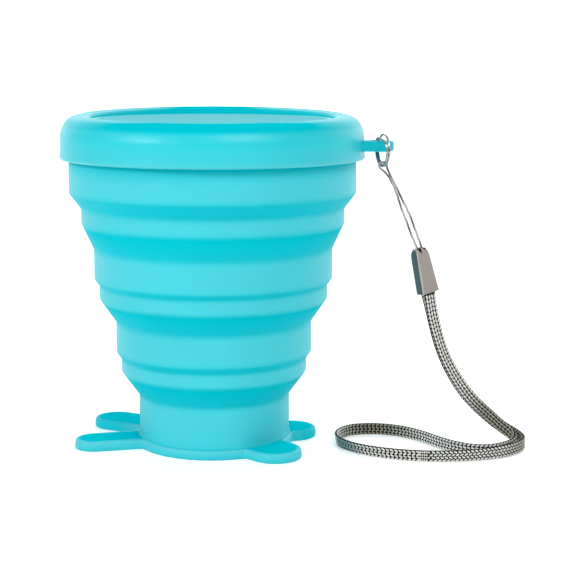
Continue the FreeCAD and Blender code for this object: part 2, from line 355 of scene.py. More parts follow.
PAINTED_REFLECTION, PAINTED_SHADE = (0.14, 0.5, 0.56), (0.0, 0.475, 0.56)
CUP_COLOUR_AND_SHEEN, LID_COLOUR_AND_SHEEN = (0.045, 0.53, 0.61), (0.015, 0.52, 0.6)
CUP_SILICONE = silicone("cup_silicone", PAINTED_REFLECTION, CUP_COLOUR_AND_SHEEN, PAINTED_SHADE, 0.46, 0.3)
LID_SILICONE = silicone("lid_silicone", PAINTED_REFLECTION, LID_COLOUR_AND_SHEEN, PAINTED_SHADE, 0.37, 0.3)
WIRE_STEEL = wire_steel()
GRIP_FACE = grip_plastic("grip_plastic", (0.25, 0.225, 0.205), (0.31, 0.28, 0.26))
# sleeve: a pale painted highlight for the rounded edges, and painted shade tinted by a painted reflection of the
# teal cup for the narrow sides
GRIP_EDGE_PAINTED_HIGHLIGHT = grip_plastic("grip_plastic_painted_highlight", (0.36, 0.335, 0.315), (0.43, 0.4, 0.38))
GRIP_SIDE_PAINTED_SHADE = grip_plastic("grip_plastic_painted_shade", (0.055, 0.075, 0.08), (0.075, 0.1, 0.105))
# near-black painted shade for the walls of the sleeve's holes
GRIP_HOLE_PAINTED_SHADE = grip_plastic("grip_plastic_hole_painted_shade", (0.004, 0.004, 0.004), (0.008, 0.008, 0.008))
CORD_PALE = yarn("cord_pale_yarn", (0.3, 0.3, 0.29), (0.56, 0.55, 0.53), 0.45, 0.4, 0.15)
CORD_DARK = yarn("cord_dark_yarn", (0.02, 0.02, 0.02), (0.07, 0.07, 0.068), 0.5, 0.3, 0.1)
STRAP_DARK = yarn("strap_dark_yarn", (0.004, 0.004, 0.004), (0.014, 0.014, 0.014), 0.8, 0.08, 0.0)
# pale cells, multiplied by a painted teal reflection of the cup at tone 0 and an olive painted shade at tone 1
STRAP_PALE = yarn("strap_pale_yarn", (0.46, 0.45, 0.42), (0.76, 0.75, 0.71), 0.6, 0.3, 0.15,
                  [(0.0, (0.14, 0.34, 0.38)), (0.5, (1.0, 1.0, 1.0)), (1.0, (0.34, 0.34, 0.24))])

# ---------------------------------------------------------------- cords

CORD_ROUTE_MM = [
    (59.6, -1.7, 57.0), (57.1, -2.1, 63.0), (54.9, -2.5, 68.8), (53.0, -3.0, 74.2), (51.7, -3.4, 77.6),
    (50.2, -3.6, 79.8), (48.2, -3.9, 81.1), (48.2, -3.8, 82.8), (50.1, -3.0, 82.8), (50.2, -2.9, 81.3),
    (51.6, -2.4, 78.4), (53.6, -1.9, 74.2), (56.2, -1.4, 69.2), (58.5, -0.9, 63.4), (60.7, -0.6, 57.0),
]

STRAP_ROUTE_MM = [
    (61.5, 0.0, 46.2), (62.9, 1.1, 40.9), (64.2, 1.7, 35.1), (65.8, 2.5, 29.2), (68.4, 3.8, 23.0),
    (72.0, 5.6, 16.9), (74.6, 6.8, 13.6), (77.6, 8.2, 10.4), (80.9, 9.8, 7.2), (84.2, 11.2, 4.6),
    (87.3, 12.0, 2.8), (89.4, 10.4, 2.0), (90.0, 7.0, 1.9), (89.4, 2.8, 1.9), (86.6, -2.3, 1.9),
    (81.0, -7.4, 1.9), (72.4, -11.5, 1.9), (62.0, -13.5, 1.9), (51.2, -12.3, 1.9), (42.2, -8.3, 1.9),
    (36.8, -2.4, 1.9), (35.6, 4.4, 1.9), (38.2, 11.2, 1.9), (45.0, 14.2, 1.9), (52.6, 13.3, 1.9),
    (60.0, 8.6, 1.9), (66.6, 1.2, 1.9), (71.8, -2.9, 1.9), (77.4, -4.7, 1.9), (82.2, -3.0, 1.9),
    (85.4, 0.8, 1.9), (87.2, 4.4, 2.0), (87.5, 7.5, 2.6), (86.0, 9.4, 3.8), (83.2, 8.7, 5.9),
    (80.6, 7.4, 8.6), (78.0, 6.1, 11.2), (75.5, 4.9, 13.8), (73.0, 3.7, 17.0), (69.3, 1.9, 23.0),
    (66.5, 0.5, 29.2), (64.8, -0.4, 35.1), (63.4, -1.0, 40.9), (62.6, -1.4, 46.4),
]

SPLINE_RESOLUTION = 24


def spline_line(name, route_mm):
    """Points in metres along the smooth NURBS curve whose control points are the route's."""
    curve = bpy.data.curves.new(name, "CURVE")
    curve.dimensions = "3D"
    curve.resolution_u = SPLINE_RESOLUTION
    spline = curve.splines.new("NURBS")
    spline.points.add(len(route_mm) - 1)
    for point, place in zip(spline.points, route_mm):
        point.co = (*(c * MM for c in place), 1)
    spline.order_u = 3
    spline.use_endpoint_u = True
    spline.resolution_u = SPLINE_RESOLUTION
    holder = bpy.data.objects.new(name, curve)
    bpy.context.scene.collection.objects.link(holder)
    bpy.context.view_layer.update()
    mesh = bpy.data.meshes.new_from_object(holder)
    points = [vertex.co.copy() for vertex in mesh.vertices]
    bpy.data.objects.remove(holder)
    bpy.data.meshes.remove(mesh)
    return points


def line_length(points):
    return sum((b - a).length for a, b in zip(points, points[1:]))


def evenly(points, spacing):
    """The same line with points at an even spacing, in metres."""
    total = line_length(points)
    count = max(2, round(total / spacing))
    result, travelled, target = [points[0].copy()], 0.0, total / count
    for a, b in zip(points, points[1:]):
        length = (b - a).length
        while length > 0 and travelled + length >= target and len(result) < count:
            result.append(a.lerp(b, (target - travelled) / length))
            target += total / count
        travelled += length
    result.append(points[-1].copy())
    return result


def tangents(points):
    ends = [points[0]] + points[:-1], points[1:] + [points[-1]]
    return [(after - before).normalized() for before, after in zip(*ends)]


def upright_frames(points):
    """At each point (tangent, level normal, width direction): how a flat tape lies on edge along a route."""
    frames = []
    for tangent in tangents(points):
        normal = tangent.cross(UP).normalized()
        frames.append((tangent, normal, normal.cross(tangent).normalized()))
    return frames


def parallel_frames(points):
    """At each point (tangent, side, other side), carried along without twisting."""
    directions = tangents(points)
    side = directions[0].orthogonal().normalized()
    frames = []
    for tangent in directions:
        side = (side - tangent * side.dot(tangent)).normalized()
        frames.append((tangent, side, tangent.cross(side)))
    return frames


def sweep(name, points, frames, sections, material, sharp_angle=40.0):
    """Closed solid through one section per point. A section is a list of (side, other side) places in mm."""
    verts, faces = [], []
    count = len(sections[0])
    for point, (_, side, other), section in zip(points, frames, sections):
        for u, v in section:
            verts.append(point / MM + side * u + other * v)
    for k in range(len(points) - 1):
        faces += band(k * count, (k + 1) * count, count)
    faces.append(list(range(count)))
    faces.append(list(range((len(points) - 1) * count, len(points) * count)))
    return new_mesh(name, verts, faces, material, sharp_angle)


def join(name, parts):
    """One object from several."""
    bpy.ops.object.select_all(action="DESELECT")
    for part in parts:
        part.select_set(True)
    bpy.context.view_layer.objects.active = parts[0]
    bpy.ops.object.join()
    parts[0].name = name
    return parts[0]


CORD_STEP = 0.16
STRANDS = [CORD_PALE, CORD_PALE, CORD_DARK]
STRAND_D, STRAND_SIDES = 0.38, 8
# each strand's distance from the cord's line, and the length in which it goes round it once
STRAND_OFFSET, STRAND_LAY = 0.16, 8.0


def make_cord_loop():
    """Thin cord of three strands laid round each other, from the sleeve, through the ring and back."""
    points = evenly(spline_line("cord_line", CORD_ROUTE_MM), CORD_STEP * MM)
    frames = parallel_frames(points)
    step = line_length(points) / MM / (len(points) - 1)
    strands = []
    for strand, material in enumerate(STRANDS):
        sections = []
        for k in range(len(points)):
            a = 2 * math.pi * (k * step / STRAND_LAY + strand / len(STRANDS))
            middle = (STRAND_OFFSET * math.cos(a), STRAND_OFFSET * math.sin(a))
            sections.append(circle(STRAND_D / 2, STRAND_SIDES, middle))
        strands.append(sweep("cord_strand", points, frames, sections, material))
    cord = join("cord_loop_strands", strands)
    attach(cord, "lanyard")
    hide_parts("cord_loop")


STRAP_WIDTH = 3.7
STRAP_STEP = 0.5
# the dark ground: how thick it is, and how far each edge stays inside the strap's width
GROUND_THICKNESS, GROUND_INSET = 0.62, 0.12
EDGE_POINTS = 7
# the chain weave: columns over the strap's width less a margin, and their cells along its length
CHAIN_COLUMNS, CHAIN_PITCH, CHAIN_MARGIN = 4, 1.22, 0.26
CHAIN_START, CHAIN_END, CHAIN_CLEAR = 0.3, 0.2, 0.05
CELL_WIDTH, CELL_RISE, CELL_SINK = 0.6, 0.2, 0.03
CELL_SIDES, CELL_SQUARENESS = 10, 0.62
# share of a cell's size and of its rise, at the corner where its flank meets its crown
CELL_SHOULDER, SHOULDER_RISE = 0.8, 0.7
# share of the strap's length, degrees that its cells slant
CELL_SLANTS = [(0.0, 9), (0.2, 12), (0.25, 20), (0.5, 24), (0.72, 20), (0.78, 12), (1.0, 9)]
# share of the strap's length, length of a cell as a share of the pitch
CELL_LENGTHS = [(0.0, 0.98), (0.18, 0.98), (0.25, 0.84), (0.7, 0.84), (0.78, 0.98), (1.0, 0.98)]
# share of the strap's length, tone: painted shade at both ends of the loop and on its far side, and a painted teal
# reflection of the cup at the bend nearest the cup
STRAP_TONES = [(0.0, 0.5), (0.15, 0.5), (0.19, 0.9), (0.25, 0.85), (0.29, 0.5), (0.44, 0.5), (0.468, 0.05),
               (0.489, 0.0), (0.498, 0.5), (0.52, 0.6), (0.565, 1.0), (0.595, 0.9), (0.64, 0.5), (0.74, 0.5),
               (0.78, 0.85), (0.84, 0.9), (0.88, 0.5), (1.0, 0.5)]
# the sewn stretch, where the strap first passes this x on the floor
SEAM_X, SEAM_BELOW_Z, SEAM_LENGTH = 63.4, 3.0, 2.8
# share of the strap's length, degrees that the tape is turned about its own line
TAPE_TURNS = [(0.0, 0), (0.09, -14), (0.13, -8), (0.19, 0), (0.27, 0), (0.34, -14), (0.46, -20), (0.53, -4),
              (0.6, 0), (0.8, 0), (0.86, 4), (0.92, 16), (0.96, 14), (1.0, 12)]


def tape_section():
    """Cross-section of the tape's dark ground: flat faces and round edges."""
    half_t, half_w = GROUND_THICKNESS / 2, STRAP_WIDTH / 2 - GROUND_INSET
    section = []
    for edge in (1, -1):
        for k in range(EDGE_POINTS):
            a = math.pi * (k / (EDGE_POINTS - 1) - 0.5)
            section.append((-half_t * math.sin(a) * edge, edge * (half_w - half_t + half_t * math.cos(a))))
    return section


def turned_frames(frames):
    """The frames turned about their tangents by TAPE_TURNS."""
    result = []
    for k, (tangent, normal, width) in enumerate(frames):
        turn = stop_value(TAPE_TURNS, k / (len(frames) - 1), soft=True)
        spin = Matrix.Rotation(math.radians(turn), 3, tangent)
        result.append((tangent, spin @ normal, spin @ width))
    return result


def make_strap_cells(points, frames):
    """Pale chain-weave cells in slanting rows on both faces of the tape, close and straight at the seam."""
    step = line_length(points) / MM / (len(points) - 1)
    total = step * (len(points) - 1)
    column_pitch = (STRAP_WIDTH - CHAIN_MARGIN) / CHAIN_COLUMNS
    seam = step * next(k for k, point in enumerate(points)
                       if point.z < SEAM_BELOW_Z * MM and point.x < SEAM_X * MM)
    levels = [(1.0, GROUND_THICKNESS / 2 - CELL_SINK),
              (CELL_SHOULDER, GROUND_THICKNESS / 2 + CELL_RISE * SHOULDER_RISE)]
    verts, faces, tones = [], [], []

    def place(s, across, lift, face):
        k = min(int(s / step), len(points) - 2)
        share = s / step - k
        point = points[k].lerp(points[k + 1], share) / MM
        normal = frames[k][1].lerp(frames[k + 1][1], share)
        width = frames[k][2].lerp(frames[k + 1][2], share)
        return point + width * across + normal * lift * face

    def add_cell(centre, middle, length, slant, face):
        first = len(verts)
        for shrink, lift in levels:
            for c, s in circle(1.0, CELL_SIDES):
                u = squared(c, CELL_SQUARENESS) * length / 2 * shrink
                v = squared(s, CELL_SQUARENESS) * CELL_WIDTH / 2 * shrink
                along = min(max(centre + u, CHAIN_CLEAR), total - CHAIN_CLEAR)
                verts.append(place(along, middle + v + u * math.tan(slant), lift, face))
        top = len(verts)
        verts.append(place(centre, middle, GROUND_THICKNESS / 2 + CELL_RISE, face))
        tones.extend([stop_value(STRAP_TONES, centre / total)] * (len(verts) - first))
        faces.extend(band(first, first + CELL_SIDES, CELL_SIDES))
        crown = range(first + CELL_SIDES, top)
        faces.extend([a, b, top] for a, b in zip(crown, [*crown[1:], crown[0]]))
        faces.append(list(range(first, first + CELL_SIDES)))

    for face in (1, -1):
        for column in range(CHAIN_COLUMNS):
            middle = (column - (CHAIN_COLUMNS - 1) / 2) * column_pitch
            lean = 1 if column % 2 else -1
            centre = CHAIN_START + (CHAIN_PITCH / 2 if column % 2 else 0.0)
            while centre < total - CHAIN_END:
                in_seam = abs(centre - seam) < SEAM_LENGTH / 2
                pitch = CHAIN_PITCH / 2 if in_seam else CHAIN_PITCH
                slant = 0.0 if in_seam else lean * stop_value(CELL_SLANTS, centre / total)
                length = pitch * stop_value(CELL_LENGTHS, centre / total)
                add_cell(centre, middle, length, math.radians(slant), face)
                centre += pitch
    return new_mesh("wrist_strap_cells", verts, faces, STRAP_PALE, 75.0, tones)


def make_strap():
    """Flat woven tape: a dark ground with pale cells on both faces."""
    points = evenly(spline_line("strap_line", STRAP_ROUTE_MM), STRAP_STEP * MM)
    frames = turned_frames(upright_frames(points))
    ground = sweep("wrist_strap_ground", points, frames, [tape_section()] * len(points), STRAP_DARK)
    cells = make_strap_cells(points, frames)
    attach(ground, "lanyard")
    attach(cells, "lanyard")
    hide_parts("wrist_strap")


make_cord_loop()
make_strap()

# ---------------------------------------------------------------- cup

# heights of the cup's bands. The rim ends 1.4 mm below the CAD's, so that the pressed-on lid covers it
RIM_TOP, RIM_BOTTOM = 92.2, 73.4
UPPER_RING_TOP, UPPER_RING_BOTTOM = 57.4, 48.7
LOWER_RING_TOP, LOWER_RING_BOTTOM = 36.2, 27.3
BASE_TOP, FOOT_TOP, CUP_FLOOR = 14.7, 2.8, 5.2
# how much further up or down the wall's inner corners lie than its outer ones
SKEW = 0.4
# where the wall's pieces meet
ABOVE_RIM, LIP_JOIN = RIM_TOP + 1.0, 86.0
UPPER_JOIN = (UPPER_RING_TOP + UPPER_RING_BOTTOM) / 2
LOWER_JOIN = (LOWER_RING_TOP + LOWER_RING_BOTTOM) / 2

# radius, height, rounding of each corner, from the rim's top down
OUTER_WALL = rounded([
    (40.4, RIM_TOP, 0), (41.3, RIM_TOP, 0.9), (41.3, 89.8, 0.4), (41.0, 89.2, 0.4),
    (41.0, RIM_BOTTOM, 1.3), (37.7, 69.0, 1.4), (37.7, 64.8, 1.5),
    (34.3, UPPER_RING_TOP, 1.6), (34.3, UPPER_RING_BOTTOM, 1.2), (32.9, 47.0, 1.0), (32.9, 43.0, 1.4),
    (28.3, LOWER_RING_TOP, 1.6), (28.3, LOWER_RING_BOTTOM, 1.2), (26.9, 25.4, 0.9), (26.9, 21.6, 1.3),
    (21.9, BASE_TOP, 1.6), (21.9, FOOT_TOP + 0.9, 1.2), (22.3, FOOT_TOP, 0),
])
INNER_WALL = rounded([
    (40.4, RIM_TOP, 0), (38.9, RIM_TOP, 0.9), (38.9, RIM_BOTTOM + SKEW, 1.3), (36.2, 69.4, 1.4),
    (36.2, 64.4, 1.5), (32.2, UPPER_RING_TOP - SKEW, 1.6), (32.2, UPPER_RING_BOTTOM + SKEW, 1.2),
    (31.4, 47.3, 1.0), (31.4, 42.7, 1.4),
    (26.2, LOWER_RING_TOP - SKEW, 1.6), (26.2, LOWER_RING_BOTTOM + SKEW, 1.2),
    (25.4, 25.7, 0.9), (25.4, 21.3, 1.3),
    (19.8, BASE_TOP - SKEW, 1.6), (19.8, CUP_FLOOR, 2.5), (0.0, CUP_FLOOR, 0),
])

# height, tone: painted shade on the folding slopes and in the crease at the foot, and a painted shadow on the wall
# close under the lid, all deeper than the bands
WALL_TONES = [
    (2.8, 0.85), (4.0, 0.55), (13.6, 0.5), (15.2, 0.95), (20.8, 1.0), (22.2, 0.5), (24.8, 0.5), (25.6, 0.95),
    (27.0, 0.95), (28.2, 0.5), (34.9, 0.5), (36.8, 0.95), (42.2, 1.0), (43.6, 0.5), (46.4, 0.5), (47.2, 0.95),
    (48.3, 0.95), (49.4, 0.5), (56.2, 0.5), (58.0, 0.95), (64.0, 1.0), (65.6, 0.5), (68.2, 0.5), (69.6, 0.95),
    (73.0, 0.95), (74.4, 0.5), (78.6, 0.5), (80.6, 0.7), (82.6, 1.0), (94.0, 1.0),
]
# the most that neighbouring points of a shaded outline lie apart, so that the tones run smoothly
TONE_STEP = 0.9


def wall_tone(_, z):
    return stop_value(WALL_TONES, z)


def wall_piece(name, high, low):
    """Part of the cup's wall between two heights, as a closed ring."""
    outer = cut_outline(OUTER_WALL, high, low)
    inner = cut_outline(INNER_WALL, high, low)
    return lathe(name, finer(outer, TONE_STEP) + inner[::-1], CUP_SILICONE, wall_tone)


def make_cup():
    """The lip, which rides the rim, and three pieces of wall, each reaching over one fold."""
    lip_outer = cut_outline(OUTER_WALL, ABOVE_RIM, LIP_JOIN)
    lip_inner = cut_outline(INNER_WALL, ABOVE_RIM, LIP_JOIN)
    lip = lathe("cup_lip", lip_outer + lip_inner[:0:-1], CUP_SILICONE, wall_tone)
    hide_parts("cup_rim")
    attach(lip, "rim")

    upper = wall_piece("cup_wall_upper", LIP_JOIN, UPPER_JOIN)
    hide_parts("upper_fold", "upper_ring")
    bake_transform(upper)

    middle = wall_piece("cup_wall_middle", UPPER_JOIN, LOWER_JOIN)
    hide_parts("middle_fold", "lower_ring")
    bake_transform(middle)

    outer = cut_outline(OUTER_WALL, LOWER_JOIN, FOOT_TOP)
    inner = cut_outline(INNER_WALL, LOWER_JOIN, CUP_FLOOR)
    lower = lathe("cup_wall_lower", finer(outer, TONE_STEP) + [Vector((0, FOOT_TOP))] + inner[::-1],
                  CUP_SILICONE, wall_tone)
    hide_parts("lower_fold", "cup_base")
    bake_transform(lower)


make_cup()

# ---------------------------------------------------------------- foot

FOOT_R = 23.0
FOOT_RAYS = 540
# direction in degrees, reach from the axis, width
LOBES = [(204, 41.0, 11.5), (162, 41.5, 13.0), (-36, 33.5, 15.0), (23, 30.5, 14.5)]
# how widely the disc and its lobes run into each other, and how steeply a lobe ends behind the axis
CROTCH_BLEND, BACK_SLOPE = 1.1 / 3, 4
# the outline is searched for between these radii, halving the gap this many times
SEARCH_FROM, SEARCH_TO, HALVINGS = 10.0, 46.0, 26
# the inner rings of the foot's flat faces, each as a share of the outermost one
FLAT_RINGS = (0.8, 0.5, 0.2)
# height, tone: the flat top is in painted shade, and the rounded edge below it is paled by a painted sheen
FOOT_EDGE_TONES = [(0.0, 0.9), (1.0, 0.6), (2.1, 0.4), (2.7, 0.4), (2.8, 0.9)]
# y, how far the tone goes from the edge's own to painted shade: the rear lobes are in painted shade all over
REAR_PAINTED_SHADE = [(0.5, 0.0), (3.5, 0.8)]


def foot_distance(x, y):
    """Distance inside the foot's outline, negative outside: a disc softly joined to its lobes."""
    depths = [FOOT_R - math.hypot(x, y)]
    for direction, reach, width in LOBES:
        a = math.radians(direction)
        along = x * math.cos(a) + y * math.sin(a)
        across = -x * math.sin(a) + y * math.cos(a)
        beyond = max(along - (reach - width / 2), 0.0, -along * BACK_SLOPE)
        depths.append(width / 2 - math.hypot(beyond, across))
    deepest = max(depths)
    return deepest + CROTCH_BLEND * math.log(sum(math.exp((d - deepest) / CROTCH_BLEND) for d in depths))


def foot_tone(y, z):
    """Painted sheen and painted shade of the foot's rounded edge."""
    tone = stop_value(FOOT_EDGE_TONES, z)
    return tone + (1.0 - tone) * stop_value(REAR_PAINTED_SHADE, y)


def foot_outline(depth):
    """Points this far inside the outline, one on each ray from the centre."""
    points = []
    for c, s in circle(1.0, FOOT_RAYS):
        low, high = SEARCH_FROM, SEARCH_TO
        for _ in range(HALVINGS):
            middle = (low + high) / 2
            if foot_distance(middle * c, middle * s) > depth:
                low = middle
            else:
                high = middle
        points.append((low * c, low * s))
    return points


def make_foot():
    """Flat foot whose rounded edge has a light draft towards the top."""
    edge = rounded([(1.6, FOOT_TOP, 0), (0.22, FOOT_TOP, 0.75), (0.0, 1.2, 1.0), (0.0, 0.0, 0.6), (1.2, 0.0, 0)], 12)
    outlines = [foot_outline(point.x) for point in edge]
    rings = [[(x * share, y * share, FOOT_TOP) for x, y in outlines[0]] for share in FLAT_RINGS[::-1]]
    rings += [[(x, y, point.y) for x, y in outline] for point, outline in zip(edge, outlines)]
    rings += [[(x * share, y * share, 0.0) for x, y in outlines[-1]] for share in FLAT_RINGS]
    edge_from, edge_to = len(FLAT_RINGS) + 1, len(FLAT_RINGS) + len(edge)
    verts, faces, tones = [], [], []
    for level, ring in enumerate(rings):
        verts += ring
        tones += [foot_tone(y, z) if edge_from <= level < edge_to else 1.0 for _, y, z in ring]
    for level in range(len(rings) - 1):
        faces += band(level * FOOT_RAYS, (level + 1) * FOOT_RAYS, FOOT_RAYS)
    for first, z in ((0, FOOT_TOP), ((len(rings) - 1) * FOOT_RAYS, 0.0)):
        around = range(first, first + FOOT_RAYS)
        faces += [[a, b, len(verts)] for a, b in zip(around, [*around[1:], first])]
        verts.append((0, 0, z))
        tones.append(1.0)
    foot = new_mesh("foot_plate", verts, faces, CUP_SILICONE, 50.0, tones)
    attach(foot, "base")
    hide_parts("foot")


make_foot()

# ---------------------------------------------------------------- lid

LID_R, LID_BOTTOM, LID_TOP = 43.5, 83.0, 96.5
# the panel's height at its edge, and the lid's hidden side: its underside, and the plug ring and groove below it
PANEL_Z, UNDERSIDE_Z = 94.2, 92.0
GROOVE_R, PLUG_OUTER_R, PLUG_INNER_R, PLUG_BOTTOM = 41.6, 38.5, 36.6, 89.6
OUTSIDE_R = GROOVE_R + 0.1
# by radius above this height, and by height below it: a panel paled by a painted reflection inside a crest in
# painted shade, and a side that pales towards its bottom edge with a painted reflection of the floor
TOP_TONES_Z = 93.6
LID_TOP_TONES = [(0.0, 0.0), (33.2, 0.05), (34.4, 1.0), (41.8, 1.0), (42.7, 0.5)]
LID_SIDE_TONES = [(83.0, 0.3), (84.6, 0.42), (89.0, 0.5)]

# the lid is pressed on further at the front, which lies this way: its crest drops most, and the drop grows from
# nothing over these heights on the outside and over the crest's height round the panel
FRONT = Vector((0.226, -0.974))
PRESS_DROP, PRESS_FROM_Z, PRESS_FULL_Z, CREST_HEIGHT = 1.9, 86.0, 93.0, 2.1
# the crest's painted shade, above and outside these, eases to this tone at its left and right ends, measured
# sideways from FRONT, which points towards the camera. The fade starts this far to the side, by radius, and takes up
# this much more
CREST_FROM_Z, CREST_FROM_R = 92.0, 34.8
FADE_STARTS = [(37.0, 10.0), (40.0, 26.0)]
FADE_SPAN, FADE_TONE = 13.0, 0.74


def lid_tone(r, z):
    return stop_value(LID_TOP_TONES, r) if z > TOP_TONES_Z else stop_value(LID_SIDE_TONES, z)


def press_lid(lid):
    """Lowers the crest and the shoulder towards the front, leaving the panel and the inside level."""
    for vertex in lid.data.vertices:
        x, y, z = vertex.co / MM
        r = math.hypot(x, y)
        if z > PRESS_FULL_Z and r < PLUG_INNER_R:
            share = min(1.0, max(0.0, (z - PANEL_Z) / CREST_HEIGHT))
        elif z > PRESS_FULL_Z or r > OUTSIDE_R:
            share = eased((z - PRESS_FROM_Z) / (PRESS_FULL_Z - PRESS_FROM_Z))
        else:
            continue
        forward = 0.5 + 0.5 * Vector((x, y)).dot(FRONT) / max(r, 1.0)
        vertex.co.z -= PRESS_DROP * share * forward * MM


def fade_crest(lid):
    """Eases the crest's painted shade part way back towards the middle tone at its left and right ends, as seen from
    the front.
    """
    tones = lid.data.attributes["tone"].data
    for vertex, tone in zip(lid.data.vertices, tones):
        x, y, z = vertex.co / MM
        r = math.hypot(x, y)
        if z > CREST_FROM_Z and r > CREST_FROM_R and tone.value > FADE_TONE:
            sideways = abs(x * FRONT.y - y * FRONT.x)
            share = eased((sideways - stop_value(FADE_STARTS, r)) / FADE_SPAN)
            tone.value += (FADE_TONE - tone.value) * share


def make_lid():
    """Cap with a soft shoulder, a raised crest round a dished panel, and a groove below for the cup's lip."""
    outline = rounded([
        (0.0, 94.0, 0), (22.0, 94.05, 40), (34.5, PANEL_Z, 1.0), (35.3, 95.8, 0.9), (37.4, LID_TOP + 0.04, 2.5),
        (41.3, 95.6, 5.0), (43.2, 91.8, 7.0), (43.2, 86.0, 12), (LID_R, LID_BOTTOM, 0.7),
        (GROOVE_R, LID_BOTTOM, 0.3), (GROOVE_R, RIM_TOP, 0.5), (PLUG_OUTER_R, RIM_TOP, 0.4),
        (PLUG_OUTER_R, PLUG_BOTTOM, 0.5), (PLUG_INNER_R, PLUG_BOTTOM, 0.5), (PLUG_INNER_R, UNDERSIDE_Z, 0.6),
        (0.0, UNDERSIDE_Z, 0),
    ], 6)
    lid = lathe("lid_cap", finer(outline, TONE_STEP), LID_SILICONE, lid_tone, 256)
    fade_crest(lid)
    press_lid(lid)
    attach(lid, "lid")
    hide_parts("lid_top", "lid_skirt", "lid_plug")


make_lid()

# ---------------------------------------------------------------- eyelet tab

TAB_BOTTOM, TAB_TOP = 85.6, 88.6
TAB_ROOT_X, TAB_END_X, TAB_HALF_WIDTH = 42.6, 48.1, 3.7
# TAB_TONE paints the tab in shade, most of the way to the deepest tone
TAB_ROUNDING, TAB_TONE, TAB_RAYS = 1.25, 0.85, 64
EYELET_X, EYELET_R, EYELET_ROUNDING = 47.3, 2.2, 0.25
# the share of the tab's length at which its sides start to flare, and how far its root spreads
FLARE_FROM, ROOT_SPREAD = 0.45, 1.06


def tab_point(a, inset):
    """Place on the tab's outline, this far inside it, in direction a from the middle of its round end."""
    half, reach = TAB_HALF_WIDTH - inset, TAB_END_X - TAB_ROOT_X
    c, s = math.cos(a), math.sin(a)
    if c > 0:
        return TAB_END_X + half * c, half * s
    if abs(s) * reach >= abs(c) * half:
        flare = max(0.0, -c / abs(s) * half / reach - FLARE_FROM) ** 2
        return TAB_END_X + c / abs(s) * half, math.copysign(half + flare, s)
    return TAB_ROOT_X, s / abs(c) * reach * ROOT_SPREAD


def make_tab():
    """Tab with a round end and a round hole, its edges rounded, flaring where it leaves the lid."""
    high = TAB_TOP - TAB_BOTTOM
    rim = rounded([(1.5, 0.0, 0), (0.0, 0.0, TAB_ROUNDING), (0.0, high, TAB_ROUNDING), (1.5, high, 0)], 12)
    lip = rounded([(0.3, high, 0), (0.0, high, EYELET_ROUNDING), (0.0, 0.0, EYELET_ROUNDING), (0.3, 0.0, 0)], 22)
    turns = [2 * math.pi * k / TAB_RAYS for k in range(TAB_RAYS)]
    levels = [(p.y, [tab_point(a, p.x) for a in turns]) for p in rim]
    levels += [(p.y, circle(EYELET_R + p.x, TAB_RAYS, (EYELET_X, 0.0))) for p in lip]
    verts = [(x, y, TAB_BOTTOM + height) for height, ring in levels for x, y in ring]
    faces = []
    for level in range(len(levels)):
        faces += band(level * TAB_RAYS, (level + 1) % len(levels) * TAB_RAYS, TAB_RAYS)
    tab = new_mesh("lid_eyelet_tab", verts, faces, LID_SILICONE, 40.0, [TAB_TONE] * len(verts))
    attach(tab, "lid")
    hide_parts("lid_eyelet")


make_tab()

# ---------------------------------------------------------------- split ring

WIRE_D, WIRE_SIDES = 0.62, 14
RING_R = 4.4
RING_CENTRE = Vector((49.1, -3.4, 86.1))
RING_HEADING = math.radians(-62.5)
RING_START = math.radians(165)
# nearly two turns of wire, in so many steps, a little more than its width apart from middle to middle
RING_SWEEP, RING_STEPS, TURN_GAP = 4 * math.pi * 0.985, 280, 1.02
# the share of the wire's length where it crosses over to the second turn, and how long that takes
CROSS_FROM, CROSS_SPAN = 0.44, 0.12
# the second turn has sprung: its top is lower, less so near the tab, and stands off from the first turn's
SPRUNG_DROP, SPRUNG_APART, SPRUNG_SHARPNESS = 1.1, 0.5, 1.3
TAB_SIDE_LIFT = 0.75
BOTTOM_PINCH = 0.16
# the wire's thickness at the last two places of either end
END_TAPER = {0: 0.72, 1: 0.93}


def make_split_ring():
    """One wire wound twice, the turns together below and sprung apart above."""
    along = Vector((math.cos(RING_HEADING), math.sin(RING_HEADING), 0))
    axis = Vector((-along.y, along.x, 0))
    points, sections = [], []
    for k in range(RING_STEPS + 1):
        share = k / RING_STEPS
        a = RING_START + share * RING_SWEEP
        second = eased((share - CROSS_FROM) / CROSS_SPAN)
        height = max(0.0, math.sin(a)) ** SPRUNG_SHARPNESS
        waist = 1 - BOTTOM_PINCH * max(0.0, -math.sin(a)) ** 2
        shift = WIRE_D / 2 * TURN_GAP * (1 - 2 * second) - second * SPRUNG_APART * height
        drop = second * SPRUNG_DROP * height * (1 - TAB_SIDE_LIFT * max(0.0, -math.cos(a)))
        across = RING_R * waist * math.cos(a)
        point = RING_CENTRE + along * across + UP * (RING_R * math.sin(a) - drop) + axis * shift
        points.append(point * MM)
        taper = END_TAPER.get(min(k, RING_STEPS - k), 1.0)
        sections.append(circle(WIRE_D / 2 * taper, WIRE_SIDES))
    frames = parallel_frames(points)
    ring = sweep("split_ring_wire", points, frames, sections, WIRE_STEEL, 50.0)
    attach(ring, "ring")
    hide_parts("split_ring")


make_split_ring()

# ---------------------------------------------------------------- sleeve

SLEEVE_TOP = Vector((59.3, -1.2, 58.7))
SLEEVE_BOTTOM = Vector((62.15, -0.7, 46.1))
SLEEVE_FACE_HEADING = math.radians(-50.0)
# width and depth
SLEEVE_TOP_SIZE, SLEEVE_BOTTOM_SIZE = Vector((4.4, 3.9)), Vector((6.0, 4.0))
SLEEVE_RAYS, SLEEVE_SQUARENESS = 96, 2 / 4.6
# how squarely a face looks sideways from which it takes the painted highlight of the rounded edge, and the painted
# shade of the narrow side
EDGE_FROM, SIDE_FROM = 0.45, 0.8
